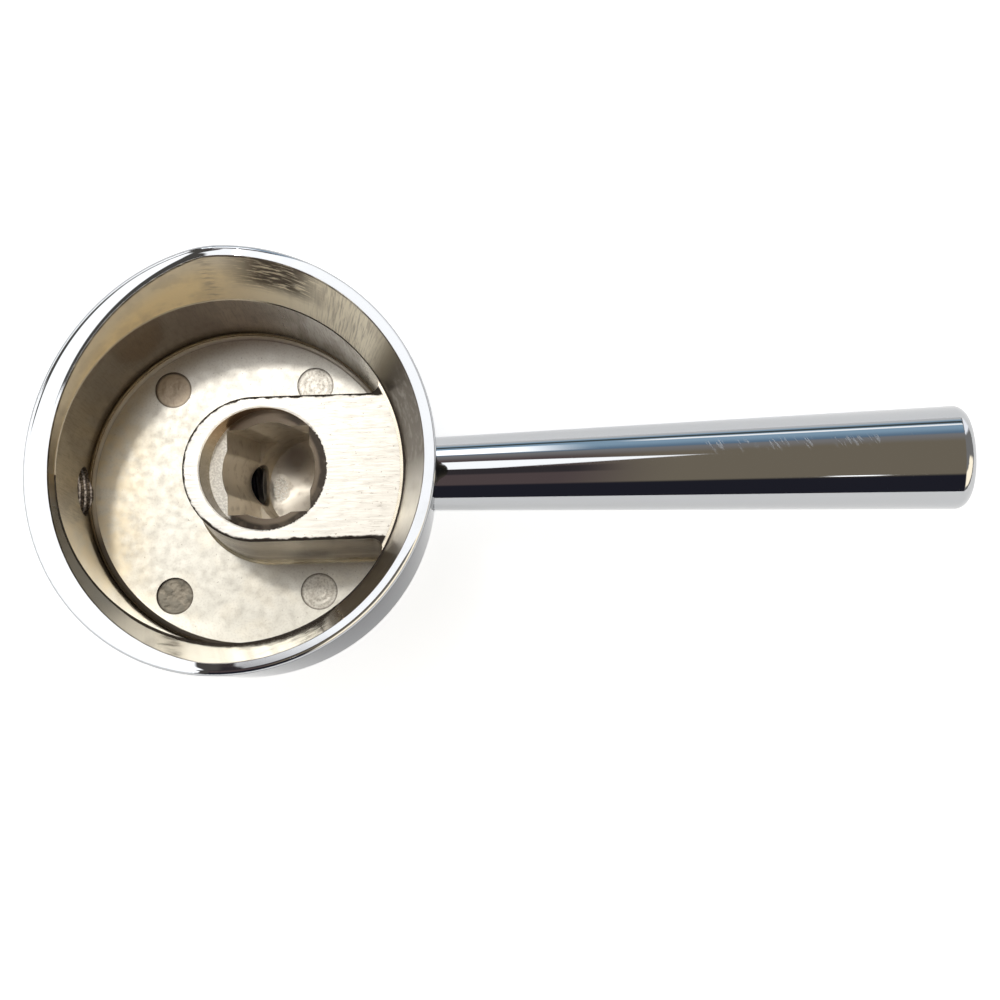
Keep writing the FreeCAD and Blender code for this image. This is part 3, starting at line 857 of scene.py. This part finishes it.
def casting_material():
    """Polished chrome outside, thin nickel over the bare casting inside."""
    material, nodes, shader = new_material("plated_casting")
    place = place_in_millimetres(nodes)
    zones = casting_zones(nodes, place)
    side_zones(nodes, zones)
    socket_zones(nodes, place, zones)
    pin_zones(nodes, zones)
    mark_zones(nodes, zones)
    grain = casting_grain(nodes, place, zones)
    edge_shade_zones(nodes, zones, grain)
    relief = casting_relief(nodes, place, zones, grain)
    normal = nodes.bump(relief, RELIEF_STEP * MM, true_normal(nodes, zones))
    nodes.put(shader.inputs["Base Color"], casting_colour(nodes, zones, grain))
    nodes.put(shader.inputs["Roughness"], casting_roughness(nodes, place, zones, grain))
    # outer wall's reflection darkened at grazing angles: painted shade
    nodes.put(shader.inputs["Specular Tint"], nodes.mix(zones["outer_wall"], WHITE, CHROME_PAINTED_DARK_EDGE))
    nodes.put(shader.inputs["Metallic"], casting_metal(nodes, zones))
    nodes.put(shader.inputs["Normal"], normal)
    return material


def lever_roughness(nodes, place, x, y):
    """Polish with a few rubbed scratches near the tip."""
    slanted = nodes.combine(nodes.math("MULTIPLY_ADD", y, SCRATCH_SLANT, x),
                            nodes.math("MULTIPLY", y, SCRATCH_STRETCH), 0.0)
    lines = nodes.ease(nodes.noise(slanted, *SCRATCH_NOISE), *SCRATCH_STEP)
    patches = nodes.ease(nodes.noise(place, *RUBBED_NOISE), *RUBBED_STEP)
    rubbed = nodes.both(nodes.band(y, *RUBBED_ACROSS), nodes.band(x, *RUBBED_ALONG))
    scratches = nodes.both(nodes.both(lines, patches), rubbed)
    clean = nodes.ease(nodes.noise(place, POLISH_NOISE), *NOISE_SPAN, *LEVER_POLISH)
    return nodes.blend(scratches, clean, SCRATCH_ROUGHNESS)


def lever_material():
    """Polished chrome, with a true taper under a faint wave."""
    material, nodes, shader = new_material("polished_chrome")
    place = place_in_millimetres(nodes)
    x, y, z = nodes.separate(place)
    shader.inputs["Base Color"].default_value = (*CHROME, 1.0)
    nodes.put(shader.inputs["Roughness"], lever_roughness(nodes, place, x, y))

    facet = nodes.add("ShaderNodeNewGeometry").outputs["Normal"]
    over_axis = nodes.less(z, LEVER_HEIGHT)
    fall = nodes.math("MULTIPLY", nodes.distance(y, over_axis), -LEVER_TAPER)
    turned = nodes.unit(nodes.combine(fall, y, over_axis))
    normal = nodes.turn(nodes.band(x, *LEVER_TAPER_BAND), facet, turned)
    wave = nodes.noise(nodes.vector("MULTIPLY", place, WAVE_STRETCH), *WAVE_NOISE)
    nodes.put(shader.inputs["Normal"], nodes.bump(wave, WAVE_HEIGHT * MM, normal))
    return material


def screw_material():
    """Black oxide steel with rubbed specks."""
    material, nodes, shader = new_material("black_oxide")
    speck = nodes.noise(place_in_millimetres(nodes), *OXIDE_NOISE)
    colour = nodes.mix(nodes.ease(speck, *OXIDE_SPECKS), OXIDE_BLACK, OXIDE_RUBBED)
    nodes.put(shader.inputs["Base Color"], colour)
    nodes.put(shader.inputs["Roughness"], nodes.ease(speck, *NOISE_SPAN, *OXIDE_ROUGHNESS))
    return material


def thread_radius(along, turn, length, outer):
    """Radius of the screw's thread at a place along it, cut down by the chamfers of its ends."""
    phase = (along / THREAD_PITCH - turn) % 1.0
    flank = abs(2.0 * phase - 1.0)
    cut = (flank - THREAD_FLAT) / (1.0 - 2.0 * THREAD_FLAT)
    thread = outer - THREAD_DEPTH * min(max(cut, 0.0), 1.0)
    chamfer = outer - SCREW_CHAMFER + min(along, length - along)
    return min(thread, chamfer)


def hex_radius(turn):
    """Radius of the hexagon at a share of a whole turn."""
    part = (turn * HEX_SIDES) % 1.0 - 0.5
    return SCREW_HEX_FLATS / 2 / math.cos(part * 2 * math.pi / HEX_SIDES)


def threaded_screw():
    """Set screw with its thread, key socket and cup point, in the place of the plain solid."""
    low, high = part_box("grub_screw")
    length = (high[0] - low[0]) / MM
    outer = (high[2] - low[2]) / MM / 2
    middle = [(a + b) / 2 for a, b in zip(low, high)]
    mesh = bmesh.new()

    def ring(along, radius_at):
        points = []
        for step in range(SCREW_SEGMENTS):
            turn = step / SCREW_SEGMENTS
            radius = radius_at(turn) * MM
            angle = 2 * math.pi * turn
            points.append(mesh.verts.new((low[0] + along * MM, middle[1] + radius * math.cos(angle),
                                          middle[2] + radius * math.sin(angle))))
        return points

    steps = round(length / THREAD_PITCH * THREAD_STEPS)
    rings = [ring(SCREW_HEX_DEPTH, hex_radius), ring(0.0, hex_radius)]
    for step in range(steps + 1):
        along = length * step / steps
        rings.append(ring(along, lambda turn: thread_radius(along, turn, length, outer)))
    rings.append(ring(length, lambda turn: SCREW_CUP_RADIUS))
    for first, second in zip(rings, rings[1:]):
        for step in range(SCREW_SEGMENTS):
            after = (step + 1) % SCREW_SEGMENTS
            mesh.faces.new((first[step], first[after], second[after], second[step]))
    for edge, along in ((rings[0], SCREW_HEX_DEPTH), (rings[-1], length - SCREW_CUP_DEPTH)):
        centre = mesh.verts.new((low[0] + along * MM, middle[1], middle[2]))
        for step in range(SCREW_SEGMENTS):
            mesh.faces.new((edge[step], edge[(step + 1) % SCREW_SEGMENTS], centre))
    bmesh.ops.recalc_face_normals(mesh, faces=mesh.faces)
    data = bpy.data.meshes.new("threaded_screw")
    mesh.to_mesh(data)
    mesh.free()
    screw = bpy.data.objects.new("threaded_screw", data)
    bpy.context.scene.collection.objects.link(screw)
    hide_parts("grub_screw")
    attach(screw, "root")
    return screw


def smooth_nodes():
    """Node group that welds facets and shades them smooth up to the sharp angle."""
    group = bpy.data.node_groups.new("smooth_facets", "GeometryNodeTree")
    for way in ("INPUT", "OUTPUT"):
        group.interface.new_socket("Geometry", in_out=way, socket_type="NodeSocketGeometry")
    nodes = Nodes(group)
    start = nodes.add("NodeGroupInput")
    weld = nodes.add("GeometryNodeMergeByDistance")
    faces = nodes.add("GeometryNodeSetShadeSmooth", domain="FACE")
    edges = nodes.add("GeometryNodeSetShadeSmooth", domain="EDGE")
    angle = nodes.add("GeometryNodeInputMeshEdgeAngle")
    sharp = nodes.add("FunctionNodeCompare", operation="GREATER_THAN")
    end = nodes.add("NodeGroupOutput")
    weld.inputs["Distance"].default_value = WELD_DISTANCE
    edges.inputs["Shade Smooth"].default_value = False
    sharp.inputs["B"].default_value = SHARP_ANGLE
    nodes.put(sharp.inputs["A"], angle.outputs["Unsigned Angle"])
    nodes.put(weld.inputs["Geometry"], start.outputs[0])
    nodes.put(faces.inputs["Geometry"], weld.outputs[0])
    nodes.put(edges.inputs["Geometry"], faces.outputs[0])
    nodes.put(edges.inputs["Selection"], sharp.outputs[0])
    nodes.put(end.inputs[0], edges.outputs[0])
    return group


def dress(item, material, smoothing):
    """Give a piece its material and smooth shading."""
    item.data.materials.clear()
    item.data.materials.append(material)
    smooth = item.modifiers.new("smooth_facets", "NODES")
    smooth.node_group = smoothing
    weighted = item.modifiers.new("weighted_normals", "WEIGHTED_NORMAL")
    weighted.mode = "FACE_AREA_WITH_ANGLE"
    weighted.keep_sharp = True


def add_floor():
    """Pale luminous sheet, as on a light table."""
    mesh = bpy.data.meshes.new("floor")
    half = FLOOR_HALF
    corners = [(-half, -half, 0), (half, -half, 0), (half, half, 0), (-half, half, 0)]
    mesh.from_pydata(corners, [], [(0, 1, 2, 3)])
    floor = bpy.data.objects.new("floor", mesh)
    floor.location.z = FLOOR_DROP
    bpy.context.scene.collection.objects.link(floor)
    material = bpy.data.materials.new("light_table")
    material.use_nodes = True
    nodes = Nodes(material.node_tree)
    shader = material.node_tree.nodes["Principled BSDF"]
    place = nodes.add("ShaderNodeTexCoord").outputs["Object"]
    colour = nodes.mix(nodes.noise(place, FLOOR_NOISE), FLOOR_SHADE, FLOOR_WHITE)
    nodes.put(shader.inputs["Base Color"], colour)
    shader.inputs["Roughness"].default_value = FLOOR_ROUGHNESS
    shader.inputs["Emission Color"].default_value = (*FLOOR_GLOW, 1.0)
    shader.inputs["Emission Strength"].default_value = FLOOR_GLOW_STRENGTH
    mesh.materials.append(material)


def patch_share(nodes, direction, limits):
    """Share of a patch of the surroundings, as the product of its limits."""
    share = 1.0
    for measure, *ends in limits:
        limit = nodes.ease if len(ends) == STEP_ENDS else nodes.band
        share = nodes.both(share, limit(direction[measure], *ends))
    return share


def side_patch(nodes, direction):
    """Share of the patch of light at the left."""
    top = nodes.ease(direction["y"], *SIDE_PATCH_TOP)
    foot = nodes.ease(direction["y"], *SIDE_PATCH_FOOT)
    under_top = nodes.ease(nodes.less(top, direction["z"]), *SIDE_PATCH_SOFT)
    over_foot = nodes.ease(nodes.less(direction["z"], foot), *SIDE_PATCH_SOFT)
    left = nodes.ease(direction["x"], *SIDE_PATCH_EDGE)
    return nodes.both(nodes.both(under_top, over_foot), left)


def overhead_patch(nodes, direction):
    """Share of the patch of light overhead."""
    from_tip = nodes.math("MAXIMUM", nodes.math("ADD", direction["x"], OVERHEAD_TIP), 0.0)
    low = nodes.math("MULTIPLY_ADD", from_tip, *OVERHEAD_LOW)
    high = nodes.math("MULTIPLY_ADD", from_tip, *OVERHEAD_HIGH)
    over_low = nodes.ease(nodes.less(direction["lean"], low), *OVERHEAD_SOFT)
    under_high = nodes.ease(nodes.less(high, direction["lean"]), *OVERHEAD_SOFT)
    slanted = nodes.math("MULTIPLY_ADD", direction["y"], OVERHEAD_SLANT, direction["x"])
    return nodes.both(nodes.both(over_low, under_high), nodes.ease(slanted, *OVERHEAD_END))


def add_world():
    """Soft surroundings: greys, a blue far side, and patches of light overhead and to the sides."""
    world = bpy.data.worlds.new("studio")
    bpy.context.scene.world = world
    world.use_nodes = True
    nodes = Nodes(world.node_tree)
    background = world.node_tree.nodes["Background"]
    x, y, z = nodes.separate(nodes.add("ShaderNodeTexCoord").outputs["Generated"])
    lean = nodes.math("DEGREES", nodes.math("ARCTAN2", y, nodes.math("MAXIMUM", z, LEAST_RISE)))
    direction = {"x": x, "y": y, "z": z, "lean": lean}
    light = BASE_LIGHT
    for patch, limits in SURROUNDINGS:
        light = nodes.mix(patch_share(nodes, direction, limits), light, patch)
    light = nodes.mix(side_patch(nodes, direction), light, SIDE_PATCH_LIGHT)
    light = nodes.mix(overhead_patch(nodes, direction), light, OVERHEAD_LIGHT)
    nodes.put(background.inputs["Color"], light)
    background.inputs["Strength"].default_value = 1.0


def add_sun():
    """Steep key light."""
    light = bpy.data.lights.new("key", "SUN")
    light.energy = SUN_ENERGY
    light.angle = SUN_SPREAD
    light.color = SUN_COLOUR
    key = bpy.data.objects.new("key", light)
    key.rotation_euler = SUN_TURN
    bpy.context.scene.collection.objects.link(key)


def add_camera():
    camera = bpy.data.objects.new("camera", bpy.data.cameras.new("camera"))
    camera.location = CAMERA_PLACE
    camera.rotation_euler = CAMERA_TURN
    camera.data.lens = FOCAL_LENGTH
    camera.data.sensor_width = SENSOR_WIDTH
    camera.data.clip_start = CLIP_START
    bpy.context.scene.collection.objects.link(camera)
    bpy.context.scene.camera = camera


smoothing = smooth_nodes()
dress(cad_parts["handle_body"], casting_material(), smoothing)
dress(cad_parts["lever"], lever_material(), smoothing)
dress(threaded_screw(), screw_material(), smoothing)
add_floor()
add_world()
add_sun()
add_camera()
bpy.context.scene.view_settings.view_transform = "Standard"
